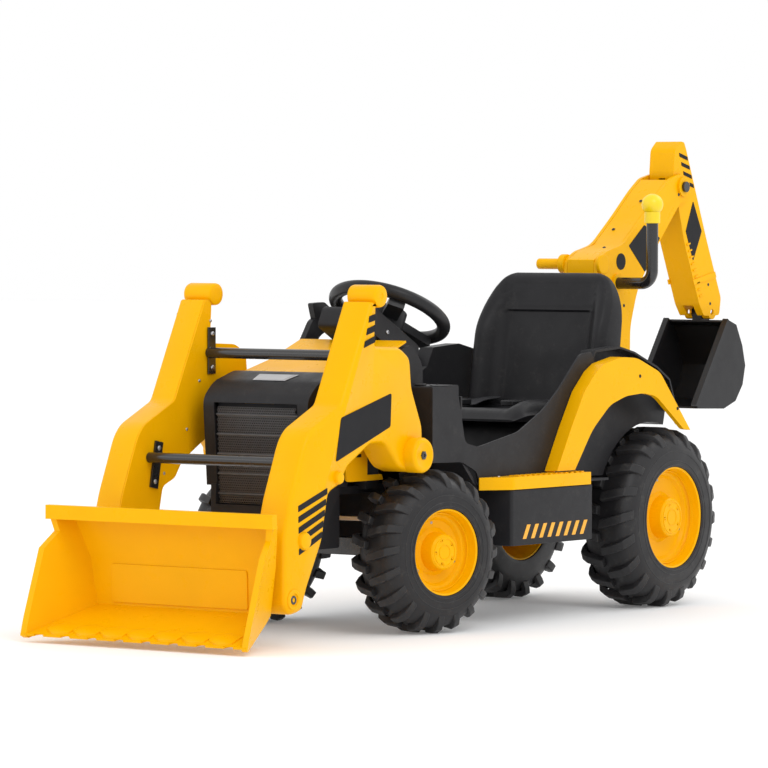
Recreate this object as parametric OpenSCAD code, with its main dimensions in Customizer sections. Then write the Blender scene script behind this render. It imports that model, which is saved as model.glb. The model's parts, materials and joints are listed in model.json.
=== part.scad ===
// Ride-on toy backhoe loader. +X is forward, +Y is the driver's left, +Z is up.
// Lengths are in millimetres. X is counted from the rear axle inside the modules,
// and placed() moves the whole model so that its footprint is centred on the origin.

/* [Wheels] */
// Distance from the rear axle to the steering kingpins
wheelbase = 791; // [786:1:796]
// Radius of the rear tyre at the tips of its lugs
rear_radius = 180; // [177:0.5:181]
// Radius of the front tyre at the tips of its lugs
front_radius = 153.5; // [151:0.5:154]
// Radius of the visible rear rim
rear_rim_r = 101; // [98:1:102]
// Radius of the visible front rim
front_rim_r = 81; // [79:1:82]
// Distance from the centre plane to the rear rim's outer edge
rear_rim_y = 243; // [242:1:246]
// Distance from the centre plane to each kingpin
kingpin_y = 140; // [139:1:141]
// Distance from a kingpin to the front rim's outer edge
front_rim_reach = 124; // [123:1:126]
// How far the front wheels are turned to the right at rest
steer_rest = 11; // [0:1:12]

/* [Front loader] */
// Height of the loader's main pivot
lift_z = 336; // [335:0.5:338]
// Distance of the loader's main pivot ahead of the rear axle
lift_x = 870; // [868:0.5:872]
// Outer face of each loader arm, from the centre plane
arm_outer_y = 225; // [224:0.5:226]
// Inner face of each loader arm, from the centre plane
arm_inner_y = 162; // [160:0.5:164]
// Half of the loader bucket's width
bucket_half = 262; // [255:1:265]
// Number of scallops along the bucket's cutting edge
bucket_teeth = 8; // [6:1:10]
// How far the loader bucket's sides lean in for each millimetre of depth
bucket_flare = 0.45; // [0.3:0.01:0.5]

/* [Body] */
// Half of the width across the cab tub's side walls
tub_half = 216; // [215:0.5:217]
// Wall thickness of the moulded covers
wall = 4; // [3:0.5:4.5]
// Half of the width of the seat
seat_half = 160; // [150:1:165]

/* [Backhoe] */
// Half of the width of the backhoe boom
boom_half = 40; // [39:0.5:42]
// Half of the width of the backhoe stick
stick_half = 30; // [28:0.5:31]
// Half of the width of the digging bucket
dig_half = 79; // [70:1:82]

/* [Hidden] */
$fn = 48;
gap = 0.5;
running = 0.05;
pin_r = 6;
lug_h = 11;
lugs = 20;
front_tip_x = 1424;
bucket_rake = 0.3136;
rear_tip_x = -532;
origin_x = (front_tip_x + rear_tip_x) / 2;
lift = [lift_x, lift_z];
tilt = [1239, 88];
stick_pivot = [-345, 844];
handle_pivot = [-98, 646];
crank = [-15, -18.7];
curl_pivot = [-478, 582];
swing_grip = [-38, 685];
swing_x = -97;
wheel_tilt = 28;
steering_centre = [637, 0, 595];
steering_ratio = 1.5;
steering_arm = 55;
tie_x = wheelbase + steering_arm * cos(steer_rest);
tie_shift = -steering_arm * sin(steer_rest);
tie_z = front_radius + 54;
dash_front = 797;
lever_slot = [-163, -137];

yellow = "#fdbe00";
charcoal = "#3a393c";
rubber = "#3c3a3c";
steel = "#9a9ca0";

// ---- Points and outlines ----

function unit(v) = v / norm(v);
function left_of(v) = [-v[1], v[0]];
function reversed(list) = [for (i = [len(list) - 1 : -1 : 0]) list[i]];
function bezier(a, p, b, s) = (1 - s) * (1 - s) * a + 2 * s * (1 - s) * p + s * s * b;

// Corners are [x, z, setback]: each one is eased into a short curve that starts
// the setback before the corner and ends the setback after it.
function eased(corners, steps = 4) = [
    for (i = [0 : len(corners) - 1])
        let (here = corners[i],
             last = corners[(i + len(corners) - 1) % len(corners)],
             next = corners[(i + 1) % len(corners)],
             p = [here[0], here[1]],
             a = p + here[2] * unit([last[0], last[1]] - p),
             b = p + here[2] * unit([next[0], next[1]] - p))
        each (here[2] == 0 ? [p] : [for (k = [0 : steps]) bezier(a, p, b, k / steps)])
];

// The path moved sideways by t, to the left of its direction
function beside(path, t) = [
    for (i = [0 : len(path) - 1])
        let (before = i == 0 ? unit(path[1] - path[0]) : unit(path[i] - path[i - 1]),
             after = i == len(path) - 1 ? before : unit(path[i + 1] - path[i]),
             n = left_of(unit(before + after)))
        path[i] + n * t / max(0.4, n * left_of(before))
];

// A band of thickness t along an open path
function band(path, t) = concat(path, reversed(beside(path, t)));

// Corners [x, z, setback] moved inwards by t: they run anticlockwise
function inset(corners, t) = [
    for (i = [0 : len(corners) - 1])
        let (loop = [for (c = corners) [c[0], c[1]]],
             before = unit(loop[i] - loop[(i + len(loop) - 1) % len(loop)]),
             after = unit(loop[(i + 1) % len(loop)] - loop[i]),
             n = left_of(unit(before + after)),
             p = loop[i] + n * t / max(0.4, n * left_of(before)))
        [p[0], p[1], corners[i][2] * 0.6]
];

// ---- Placing and extruding ----

module placed() {
    translate([-origin_x, 0, 0]) children();
}

module on_side(side) {
    mirror([0, side < 0 ? 1 : 0, 0]) children();
}

// Side outline (x, z) extruded between two Y planes
module slab(outline, y_low, y_high) {
    translate([0, y_high, 0])
        rotate([90, 0, 0])
            linear_extrude(height = y_high - y_low) polygon(outline);
}

module rod_y(at, r, y_low, y_high) {
    translate([at[0], y_low, at[1]])
        rotate([-90, 0, 0]) cylinder(h = y_high - y_low, r = r);
}

module box(low, high) {
    translate(low) cube(high - low);
}

module spun_y() {
    rotate([-90, 0, 0]) rotate_extrude($fn = 96) children();
}

// ---- Wheels: the rim's outer edge lies in the local plane y = 0 ----

module tyre(radius, rim_r, tread_out, tread_in) {
    carcass = radius - lug_h;
    inner_face = tread_in - 6;
    wall_path = [[rim_r + 0.5, -14], [rim_r + 0.5, -2], [rim_r + 10, 2], [carcass - 26, 2],
        [carcass - 8, tread_out + 4], [carcass, tread_out - 6], [carcass, tread_in + 6],
        [carcass - 8, inner_face + 2], [carcass - 26, inner_face - 2], [rim_r + 10, inner_face - 2],
        [rim_r + 0.5, inner_face + 2], [rim_r + 0.5, inner_face + 14]];
    middle = (tread_out + tread_in) / 2;
    pitch = 360 / lugs;
    color(rubber) {
        spun_y() polygon(band(wall_path, -4));
        for (i = [0 : lugs - 1]) {
            lug_at(i * pitch, pitch) polygon([[carcass - 2, middle - 2], [radius, middle - 2],
                [radius, tread_out - 3], [radius - 8, tread_out], [carcass - 10, tread_out + 3],
                [carcass - 2, tread_out - 8]]);
            lug_at((i + 0.5) * pitch, pitch) polygon([[carcass - 2, middle + 2], [carcass - 2, tread_in + 8],
                [carcass - 10, tread_in - 3], [radius - 8, tread_in], [radius, tread_in + 3],
                [radius, middle + 2]]);
        }
    }
}

// One lug, a little under half a pitch long, centred at the given angle from the ground
module lug_at(angle, pitch) {
    rotate([-90, 0, 0])
        rotate([0, 0, 90 + angle - pitch * 0.22])
            rotate_extrude(angle = pitch * 0.44, $fn = 96) children();
}

module rim(rim_r, hub_r, inner_face, bore_r) {
    section = [[rim_r, -1], [rim_r - 1, -5], [rim_r - 4, -16], [rim_r - 4, inner_face + 16],
        [rim_r - 1, inner_face + 6], [rim_r, inner_face], [rim_r - 3, inner_face],
        [rim_r - 4, inner_face + 6], [rim_r - 7, inner_face + 16], [rim_r - 7, -22],
        [rim_r - 13, -30], [rim_r - 22, -37], [hub_r + 10, -40], [hub_r - 2, -36],
        [hub_r - 6, -10], [16, -10], [16, inner_face + 8], [bore_r, inner_face + 8],
        [bore_r, -12], [0, -12], [0, -5], [hub_r - 6, -5], [hub_r - 3, -8], [hub_r + 1, -32],
        [hub_r + 9, -36], [rim_r - 22, -33], [rim_r - 17, -27], [rim_r - 12, -26],
        [rim_r - 7, -18], [rim_r - 3.5, -3]];
    color(yellow)
        difference() {
            spun_y() polygon(section);
            for (a = [0 : 72 : 288])
                rotate([0, a, 0]) translate([hub_r * 0.62, -30, 0])
                    rotate([-90, 0, 0]) cylinder(h = 40, r = 2.2, $fn = 24);
        }
}

module at_rear_wheel(side) {
    on_side(side) translate([0, rear_rim_y, rear_radius]) children();
}

module steered(side) {
    translate([wheelbase, side * kingpin_y, front_radius])
        rotate([0, 0, -steer_rest]) on_side(side) children();
}

module at_front_wheel(side) {
    steered(side) translate([0, front_rim_reach, 0]) children();
}

module rear_tyre(side) {
    at_rear_wheel(side) tyre(rear_radius, rear_rim_r, -18, -113);
}

module rear_rim(side) {
    at_rear_wheel(side) rim(rear_rim_r, 42, -117, pin_r + running);
}

module front_tyre(side) {
    at_front_wheel(side) tyre(front_radius, front_rim_r, -20, -100);
}

module front_rim(side) {
    at_front_wheel(side) rim(front_rim_r, 36, -104, pin_r + running);
}

// ---- Chassis and drive ----

module chassis_pan() {
    color(charcoal)
        difference() {
            union() {
                box([-88, -112, 150], [610, 112, 256]);
                box([600, -102, 150], [676, 102, 256]);
                box([664, -112, 262], [1036, 112, 276]);
                box([664, -112, 240], [676, 112, 276]);
                for (side = [-1, 1]) {
                    on_side(side) slab(eased([[962, 164, 6], [1034, 164, 6], [1034, 263, 0], [962, 263, 0]]),
                        114, 122);
                    on_side(side) box([963, 100, 240], [1034, 122, 276]);
                    on_side(side) box([776, 60, 172], [806, 92, 264]);
                    on_side(side) box([850, 100, 270], [890, 129, 368]);
                }
            }
            box([-84, -108, 154], [606, 108, 260]);
            box([590, -98, 154], [660, 98, 260]);
            rod_y([0, rear_radius], pin_r + 2, -130, 130);
            rod_y(lift, 9 + running, -150, 150);
            tilted() cylinder(h = 1000, r = 12, center = true);
        }
}

module battery() {
    color("#2b2b30") {
        box([180, -75, 154.5], [331, 24, 246]);
        for (y = [-60, 9])
            translate([196, y, 245]) cylinder(h = 6, r = 5);
    }
}

module gear_motor(side) {
    color("#1d1d20")
        on_side(side)
            difference() {
                union() {
                    box([-36, 62, rear_radius - 25], [58, 104, rear_radius + 34]);
                    translate([34, 12, rear_radius + 10])
                        rotate([-90, 0, 0]) cylinder(h = 51, r = 18);
                }
                rod_y([0, rear_radius], pin_r + 0.3, 40, 140);
            }
}

module rear_axle() {
    color(steel)
        rod_y([0, rear_radius], pin_r, -rear_rim_y + 13, rear_rim_y - 13);
}

// Carries the backhoe post behind the seat, bolted over the tail of the chassis
module swing_socket() {
    color(charcoal)
        difference() {
            union() {
                translate([swing_x, 0, 256.5]) cylinder(h = 20.5, r = 30);
                box([swing_x - 30, -60, 256.5], [-40, 60, 261.5]);
                box([swing_x - 6, -50, 190], [-88.5, 50, 258]);
            }
            translate([swing_x, 0, 261]) cylinder(h = 40, r = 14 + running);
        }
}

module front_axle_beam() {
    color("#2a2a2d")
        difference() {
            union() {
                box([wheelbase - 15, -117, front_radius - 15], [wheelbase + 15, 117, front_radius + 18]);
                for (side = [-1, 1])
                    on_side(side)
                        for (z = [front_radius - 33, front_radius + 24])
                            translate([0, 0, z]) {
                                translate([wheelbase, kingpin_y, 0]) cylinder(h = 9, r = 15);
                                box([wheelbase - 15, 100, 0], [wheelbase + 15, kingpin_y, 9]);
                            }
                for (side = [-1, 1])
                    on_side(side)
                        box([wheelbase - 15, 100, front_radius - 33], [wheelbase + 15, 117, front_radius + 33]);
            }
            for (side = [-1, 1])
                translate([wheelbase, side * kingpin_y, 80]) cylinder(h = 140, r = 7 + running);
            for (side = [-1, 1])
                on_side(side) box([760, 59, front_radius + 18.4], [820, 93, 280]);
        }
}

module knuckle(side) {
    arm_z = 46;
    color(steel)
        steered(side) {
            translate([0, 0, -36]) cylinder(h = 88, r = 7);
            translate([0, 0, -23.5]) cylinder(h = 47, r = 13);
            rotate([-90, 0, 0]) cylinder(h = front_rim_reach - 13, r = pin_r);
            rotate([-90, 0, 0]) cylinder(h = 17, r = 11);
            translate([0, 0, arm_z]) cylinder(h = 7, r = 12);
            box([0, -7, arm_z], [steering_arm, 7, arm_z + 7]);
            translate([steering_arm, 0, arm_z]) cylinder(h = 7, r = 7);
            translate([steering_arm, 0, arm_z + 6]) cylinder(h = 16, r = 4);
        }
}

module tie_rod() {
    color(steel)
        translate([tie_x, tie_shift, tie_z])
            difference() {
                union() {
                    box([-7, -kingpin_y, 0], [7, kingpin_y, 8]);
                    for (side = [-1, 1])
                        translate([0, side * kingpin_y, 0]) cylinder(h = 8, r = 9);
                    box([0, -20, 0], [46, 20, 8]);
                }
                translate([0, kingpin_y, -1]) cylinder(h = 10, r = 4 + running);
                translate([0, -kingpin_y, -1]) cylinder(h = 10, r = 4.6);
                box([16, -8.5, -1], [60, 8.5, 9]);
            }
}

// ---- Steering column and wheel, along a tilted axis ----

module tilted() {
    translate(steering_centre) rotate([0, -wheel_tilt, 0]) children();
}

module column_axis() {
    tilted() rotate([0, 0, -steer_rest * steering_ratio]) children();
}

module steering_column() {
    crank_reach = 36;
    color(steel)
        column_axis() {
            translate([0, 0, -415]) cylinder(h = 375, r = 7);
            translate([0, 0, -415]) cylinder(h = 9, r = 10);
            box([0, -6, -415], [crank_reach, 6, -407]);
            translate([crank_reach, 0, -415]) cylinder(h = 8, r = 7);
            translate([crank_reach, 0, -462]) cylinder(h = 49, r = 5);
        }
}

module steering_wheel() {
    grip_r = 108;
    grip_half = 13;
    color("#2b2a2d")
        column_axis()
            difference() {
                union() {
                    rotate_extrude($fn = 96) translate([grip_r, 0]) circle(r = grip_half, $fn = 32);
                    translate([0, 0, -44]) cylinder(h = 48, r = 34);
                    for (a = [60, 180, 300])
                        rotate([0, 0, a]) box([20, -16, -24], [grip_r - 6, 16, -8]);
                }
                translate([0, 0, -45]) cylinder(h = 32, r = 7 + 0.01);
                translate([0, 0, -7]) cylinder(h = 20, r = 24.3);
            }
}

module horn_button() {
    color("#46464a")
        column_axis() translate([0, 0, -2.5]) cylinder(h = 11, r = 24);
}

// ---- Body mouldings ----

module cab_tub() {
    side_wall = eased([[430, 262, 0], [640, 262, 0], [652, 296, 8], [700, 316, 10], [dash_front, 318, 0],
        [dash_front, 460, 4], [717, 460, 10], [690, 352, 12], [647, 343, 8], [513, 367, 10], [428, 407, 14],
        [376, 444, 12], [300, 512, 8], [262, 516, 0], [236, 480, 0], [300, 420, 0], [372, 300, 0]]);
    color(charcoal) {
        difference() {
            union() {
                for (side = [-1, 1])
                    on_side(side) slab(side_wall, tub_half - wall, tub_half);
                box([192, -tub_half + wall, 262], [640, tub_half - wall, 267]);
                slab(eased([[70, 380, 0], [380, 380, 14], [420, 262, 0], [415, 262, 0], [375, 375, 10],
                    [70, 375, 0]]), -176, 176);
                for (side = [-1, 1])
                    on_side(side) slab([[210, 262], [420, 262], [380, 380], [210, 380]], 172, 176);
                box([-60, -100, 262], [200, 100, 267]);
                box([66, -100, 262], [70, 100, 380]);
                slab([[640, 262], [645, 262], [700, 318], [700, 440], [695, 440], [695, 322], [640, 267]],
                    -tub_half + wall, tub_half - wall);
            }
            box([690, lever_slot[0], 340], [705, lever_slot[1], 445]);
        }
    }
}

module dash_shell() {
    middle = [[706, 322, 0], [842, 322, 0], [842, 503, 6], [800, 521, 8], [742, 538, 12], [706, 500, 16]];
    flank = [[706, 322, 0], [dash_front, 322, 0], [dash_front, 462, 5], [706, 462, 5]];
    flank_half = tub_half - wall - gap;
    color(charcoal)
        difference() {
            union() {
                slab(eased(middle), -128, 128);
                slab(eased(flank), -flank_half, flank_half);
            }
            slab(eased(inset(middle, wall)), -128 + wall, 128 - wall);
            slab(eased(inset(flank, wall)), -flank_half + wall, flank_half - wall);
            box([714, -120, 300], [834, 120, 330]);
            box([714, -200, 300], [dash_front - 8, 200, 330]);
            box([700, lever_slot[0], 334], [dash_front + 5, lever_slot[1], 500]);
            tilted() cylinder(h = 700, r = 30, center = true);
            translate([783, 178, 440]) cylinder(h = 40, r = 9);
        }
}

module steering_cowl() {
    outline = [[-50, -95, 6], [126, -95, 10], [126, -48, 14], [-50, -48, 14]];
    color("#333236")
        tilted()
            difference() {
                union() {
                    difference() {
                        slab(eased(outline), -58, 58);
                        slab(eased(inset(outline, wall)), -54, 54);
                    }
                    translate([0, 0, -150]) cylinder(h = 100, r = 20);
                }
                translate([0, 0, -160]) cylinder(h = 200, r = 9);
            }
}

module hood_cover() {
    top = [[936, 487], [853, 508], [755, 545]];
    color(yellow) {
        slab(band(top, wall), -124, 124);
        for (side = [-1, 1])
            on_side(side)
                slab([[936, 487], [853, 508], [845, 511], [845, 370], [936, 370]], 120, 124);
    }
}

module side_panel(side) {
    color(yellow)
        on_side(side)
            slab(eased([[842, 286, 4], [957, 286, 8], [966, 368, 4], [892, 368, 2], [892, 297, 2],
                [846, 297, 2]]), 130, 135);
}

module grille_shell() {
    profile = eased([[938, 277, 0], [1050, 277, 0], [1062, 440, 16], [1030, 470, 16], [968, 489, 10],
        [938, 488, 0]]);
    front_half = 109;
    color("#2e2d30")
        difference() {
            union() {
                slab(profile, -122, 122);
                box([1038, -front_half, 226], [1054, front_half, 280]);
            }
            slab([[930, 270], [1046, 270], [1056, 436], [1026, 465], [967, 485], [930, 484]], -118, 118);
            box([1030, -97, 242], [1080, 97, 432]);
        }
}

module grille_mesh() {
    bar = 3;
    color("#242326") {
        difference() {
            slab([[1041, 243], [1047, 243], [1056, 431], [1050, 431]], -96.5, 96.5);
            for (row = [0 : 13], col = [-6 : 6])
                translate([1030, col * 14, 254 + row * 12.6])
                    box([0, -4.5, 0], [40, 4.5, 12.6 - bar]);
        }
    }
}

module fender(side) {
    outline = eased([[362, 289, 0], [424, 289, 2], [378, 367, 20], [330, 440, 14], [288, 478, 12],
        [260, 493, 10], [196, 505, 12], [142, 502, 16], [58, 472, 14], [-55, 353, 4], [-30, 356, 4],
        [72, 425, 16], [120, 432, 12], [181, 428, 14], [238, 412, 16], [301, 365, 18]]);
    color(yellow)
        on_side(side) {
            slab(outline, 236, 246);
            slab(band([[424, 289], [378, 367], [330, 440], [288, 478], [260, 493], [196, 505],
                [142, 502], [58, 472], [-46, 367]], wall), 217, 238);
        }
}

// The tall cheek beside the seat and the low arch over the inner half of the tyre
module fender_liner(side) {
    top = [[424, 275], [416, 289], [372, 360], [322, 434], [284, 470], [262, 480],
        [240, 518], [150, 524], [98, 513], [14, 482], [-32, 456], [-60, 392]];
    arch = [for (a = [106 : -6 : 28]) rear_radius * [0, 1] + (rear_radius + 10) * [cos(a), sin(a)]];
    color(charcoal)
        on_side(side) {
            slab(band(top, wall), 178, 211.5);
            slab(concat(top, arch), 178, 182);
            slab(band(arch, wall), 114, 182);
        }
}

module step_box(side) {
    plan = [[316, 113, 0], [604, 113, 0], [604, 200, 6], [592, 256, 6], [316, 256, 0]];
    color(charcoal)
        on_side(side)
            difference() {
                translate([0, 0, 153]) linear_extrude(height = 107) polygon(eased(plan));
                translate([0, 0, 149]) linear_extrude(height = 107) polygon(eased(inset(plan, wall)));
            }
}

module step_tread(side) {
    plan = [[324, 218, 0], [650, 218, 4], [590, 259, 6], [324, 259, 2]];
    color(yellow)
        on_side(side) {
            difference() {
                translate([0, 0, 260.5]) linear_extrude(height = 24) polygon(eased(plan));
                translate([0, 0, 259]) linear_extrude(height = 21) polygon(eased(inset(plan, 3)));
            }
            for (x = [336 : 18 : 552])
                box([x, 228, 284], [x + 9, 250, 286.5]);
        }
}

module seat() {
    shell = [[428, 381, 6], [432, 404, 10], [330, 408, 20], [160, 400, 14], [122, 430, 14],
        [84, 640, 10], [66, 668, 8], [44, 664, 8], [28, 600, 20], [50, 420, 20], [76, 381, 6]];
    color(charcoal)
        difference() {
            slab(eased(shell), -seat_half, seat_half);
            slab(eased(inset(shell, 6)), -seat_half + 6, seat_half - 6);
            for (side = [-1, 1])
                on_side(side) slab([[20, 590], [110, 690], [20, 690]], 120, 170);
            box([110, -120, 376], [390, 120, 390]);
        }
}

module seat_belt() {
    color("#26252a") {
        box([150, -110, 409], [300, -62, 411.5]);
        box([150, 62, 409], [300, 110, 411.5]);
    }
}

module charge_socket() {
    color("#1b1b1d")
        translate([783, 178, 440])
            difference() {
                union() {
                    cylinder(h = 22, r = 8.7);
                    translate([0, 0, 22.4]) cylinder(h = 3, r = 12);
                    translate([0, 0, 20]) cylinder(h = 4, r = 8.7);
                }
                translate([0, 0, 6]) cylinder(h = 30, r = 4);
            }
}

module accelerator_pedal() {
    color("#b8352a") {
        slab(eased([[596, 276, 2], [664, 305, 4], [662, 312, 3], [594, 283, 2]]), -114, -70);
        rod_y([598, 277], 6, -114, -70);
    }
}

// ---- Front loader ----

arm_corners = [[878, 304, 4], [913, 314, 12], [958, 362, 14], [1000, 362, 12], [1073, 321, 10],
    [1095, 290, 8], [1131, 276, 10], [1150, 190, 12], [1197, 104, 12], [1211, 66, 12], [1250, 60, 12],
    [1267, 80, 8], [1269, 200, 14], [1248, 269, 10], [1205, 372, 16], [1185, 393, 12],
    [1096, 434, 8], [1052, 524, 10], [1004, 622, 2], [984, 622, 2], [989, 540, 8], [910, 537, 12],
    [878, 517, 12], [872, 461, 12], [838, 388, 12], [838, 336, 8], [850, 308, 8]];

// Each arm is a moulded tray, open on its inner side, with solid bosses for the pivots
module arm(side) {
    back_y = arm_inner_y + 3.2;
    color(yellow)
        on_side(side)
            difference() {
                union() {
                    difference() {
                        slab(eased(arm_corners), back_y, arm_outer_y);
                        slab(eased(inset(arm_corners, wall)), back_y - 5, arm_outer_y - wall);
                    }
                    rod_y(lift, 20, back_y, 250);
                    rod_y(lift, 33, arm_outer_y - wall + 1, 250);
                    rod_y(tilt, 15, back_y, arm_outer_y - 1);
                    rod_y([972, 632], 21, arm_inner_y - 3, arm_outer_y - 1);
                    rod_y([1106, 303], 12, arm_outer_y - 3, arm_outer_y + 8);
                    rod_y([1209, 193], 17, arm_outer_y - 3, arm_outer_y + 7);
                }
                rod_y([972, 632], 15, arm_inner_y - 10, arm_outer_y - wall - 1);
                rod_y(lift, 9 + running, 100, 300);
                rod_y(lift, 24, 240, 300);
                rod_y(tilt, pin_r + running, 100, 300);
                rod_y(tilt, 11, arm_outer_y - 5, 300);
            }
}

module arm_cover(side) {
    color(yellow)
        on_side(side)
            difference() {
                slab(eased(arm_corners), arm_inner_y, arm_inner_y + 3);
                rod_y(lift, 9 + running, 100, 300);
                rod_y(tilt, pin_r + running, 100, 300);
                rod_y([972, 632], 22, 100, 300);
            }
}

module crossbar(at, foot, head) {
    half = arm_inner_y - gap;
    along = unit(head - foot);
    across = left_of(along) * 11;
    color("#1f1e20") {
        rod_y(at, 10, -half, half);
        for (side = [-1, 1])
            on_side(side)
                slab([foot - across, foot + across, head + across, head - across], half - 4, half);
    }
}

module pivot_shaft() {
    color(steel) {
        rod_y(lift, 9, -237, 237);
        for (side = [-1, 1])
            on_side(side) rod_y(lift, 15, 240.3, 247);
        rod_y(lift, 8, -241, 241);
    }
}

module loader_lever() {
    grip = eased([[692, 612, 6], [653, 614, 6], [584, 574, 8], [594, 529, 6], [637, 566, 6], [675, 562, 6]]);
    stem = eased([[852, 352, 4], [884, 330, 6], [872, 318, 6], [856, 322, 4], [668, 548, 10],
        [640, 560, 4], [652, 590, 4], [690, 580, 10]]);
    color("#232225")
        difference() {
            union() {
                slab(stem, -156, -144);
                slab(grip, -156, -144);
                rod_y(lift, 22, -158, -142);
            }
            rod_y(lift, 9 + 0.01, -200, -100);
        }
}

// A slab between two planes that lean inwards towards the bucket's back, in_by and out_by from its side
module flared(side, in_by, out_by) {
    lean = sqrt(1 + bucket_flare * bucket_flare * (1 + bucket_rake * bucket_rake));
    on_side(side)
        translate([front_tip_x + 3.8, bucket_half, 0])
            rotate([-asin(bucket_flare * bucket_rake / lean), 0, atan(bucket_flare)])
                box([-400, -in_by, -400], [400, -out_by, 400]);
}

module loader_bucket() {
    back = [[1350, 248], [1306, 224], [1284, 150], [1280, 62], [front_tip_x - 1.31, 12]];
    cheek = [[1350, 248], [1306, 224], [1284, 150], [1280, 62], [1304, 50], [1418, 8], [front_tip_x, 12],
        [1414, 46], [1372, 170], [1340, 200]];
    scallop = 2 * (bucket_half - 12) / bucket_teeth;
    color(yellow)
        difference() {
            union() {
                intersection() {
                    slab(band(back, wall), -bucket_half, bucket_half);
                    flared(1, 700, 4);
                    flared(-1, 700, 4);
                }
                for (side = [-1, 1]) {
                    intersection() {
                        slab(cheek, -300, 300);
                        flared(side, 12, 0);
                    }
                    on_side(side) {
                        slab([[1236, 76], [1252, 68], [1284, 64], [1288, 130], [1256, 112], [1232, 104]],
                            144, 158);
                        rod_y(tilt, 17, 144, 158);
                    }
                }
                box([1338, -bucket_half, 222], [1352, bucket_half, 248]);
            }
            for (i = [0 : bucket_teeth - 1])
                translate([1426, -bucket_half + 12 + scallop * (i + 0.5), 0])
                    cylinder(h = 16, r = 11);
            for (side = [-1, 1])
                on_side(side) rod_y(tilt, pin_r + running, 100, 200);
        }
}

module bucket_pins() {
    color(steel)
        for (side = [-1, 1])
            on_side(side) {
                rod_y(tilt, pin_r, 141, arm_outer_y - 4.8);
                rod_y(tilt, 10, arm_outer_y - 4.8, arm_outer_y - 1);
            }
}

// ---- Backhoe ----

boom_side = eased([[-50, 300, 0], [-50, 560, 30], [-22, 640, 20], [-24, 694, 12], [-60, 711, 8],
    [-120, 724, 20], [-196, 782, 16], [-260, 835, 14], [-300, 862, 10], [-345, 872, 10],
    [-373, 850, 12], [-370, 820, 12], [-334, 808, 10], [-266, 740, 20], [-218, 688, 20],
    [-174, 631, 24], [-148, 556, 20], [-145, 300, 0]]);

module boom() {
    back = [[-256, 729], [-218, 688], [-174, 631], [-152, 570], [-145, 510], [-145, 300]];
    color(yellow)
        difference() {
            union() {
                for (side = [-1, 1])
                    on_side(side) {
                        slab(boom_side, boom_half - 7, boom_half);
                        rod_y(stick_pivot, 20, boom_half - 5, boom_half + 5);
                        rod_y(handle_pivot, 19, boom_half - 5, boom_half + 4);
                    }
                slab(band(back, -6), -boom_half + 6, boom_half - 6);
                slab([[-50, 300], [-44, 312], [-151, 312], [-145, 300]], -boom_half + 6, boom_half - 6);
                translate([swing_x, 0, 278]) cylinder(h = 24, r = 22);
                translate([swing_x, 0, 262]) cylinder(h = 18, r = 14);
            }
            rod_y(stick_pivot, 8 + running, -60, 60);
            rod_y(handle_pivot, 12 + running, -30, 60);
            rod_y(handle_pivot, 8 + running, -60, 0);
            rod_y(swing_grip, 6.3, -60, 60);
        }
}

module boom_cover() {
    front = [[-50, 314], [-50, 552], [-44, 585], [-22, 640], [-24, 694], [-60, 711], [-120, 724],
        [-196, 782], [-260, 835], [-296, 859]];
    color(yellow)
        difference() {
            slab(band(front, 4), -boom_half + 7.5, boom_half - 7.5);
            rod_y(swing_grip, 7, -100, 100);
        }
}

module swing_handle() {
    color(yellow) {
        rod_y(swing_grip, 20, -55, -boom_half - 0.3);
        rod_y(swing_grip, 11, -112, -54);
        rod_y(swing_grip, 20, boom_half + 0.3, boom_half + 8);
        rod_y(swing_grip, 6, -54, 42);
    }
}

module stick_bolt() {
    color("#1c1c1e") {
        rod_y(stick_pivot, 8, -boom_half - 5.5, boom_half + 5.5);
        for (side = [-1, 1])
            on_side(side) rod_y(stick_pivot, 11, boom_half + 5.2, boom_half + 11);
    }
}

stick_corners = [[-366, 937, 4], [-374, 922, 6], [-436, 778, 6], [-455, 734, 8], [-512, 612, 6],
    [-506, 575, 8], [-446, 575, 4], [-427, 600, 4], [-367, 732, 10], [-325, 868, 10], [-330, 921, 8],
    [-352, 939, 4]];

module stick() {
    color(yellow)
        difference() {
            union() {
                slab(eased(stick_corners), -stick_half, stick_half);
                rod_y(curl_pivot, 15, -stick_half, stick_half);
            }
            slab(eased(inset(stick_corners, 4)), -stick_half + 4, stick_half - 4);
            box([-520, -13, 540], [-430, 13, 640]);
            box([-380, -8, 780], [-310, 8, 862]);
            rod_y(stick_pivot, 8 + running, -60, 60);
            rod_y(curl_pivot, pin_r + running, -60, 60);
        }
    color(yellow)
        for (side = [-1, 1])
            on_side(side)
                difference() {
                    union() {
                        rod_y(stick_pivot, 13, 16, stick_half - 3.9);
                        slab(band([stick_pivot + crank * 1.4, stick_pivot + crank * 0.4], 12), 9, stick_half - 3.9);
                    }
                    rod_y(stick_pivot, 8 + running, -60, 60);
                }
    color(steel) rod_y(stick_pivot + crank, 4, -20, 20);
}

module dig_handle() {
    reach = 125;
    bend = 26;
    top = 772;
    color("#1f1e20")
        translate([handle_pivot[0], 0, handle_pivot[1]]) {
            rod_y([0, 0], 12, -8, reach - bend);
            rod_y([0, 0], 8, -boom_half - 3, 0);
            translate([0, reach - bend, bend])
                rotate([0, 90, 0])
                    rotate_extrude(angle = 90) translate([bend, 0]) circle(r = 12, $fn = 32);
            translate([0, reach, bend]) cylinder(h = top - handle_pivot[1] - bend, r = 12);
        }
    color("#1f1e20")
        slab(eased([handle_pt([15, 18], 6), handle_pt([-15, 18], 6), handle_pt([-33, -16], 6),
            handle_pt([-14, -33], 6), handle_pt([16, -10], 6)]), 8, 18);
    color(steel) rod_y(handle_pivot + crank, 4, -8, 9);
}

function handle_pt(offset, setback) = [handle_pivot[0] + offset[0], handle_pivot[1] + offset[1], setback];

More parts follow.
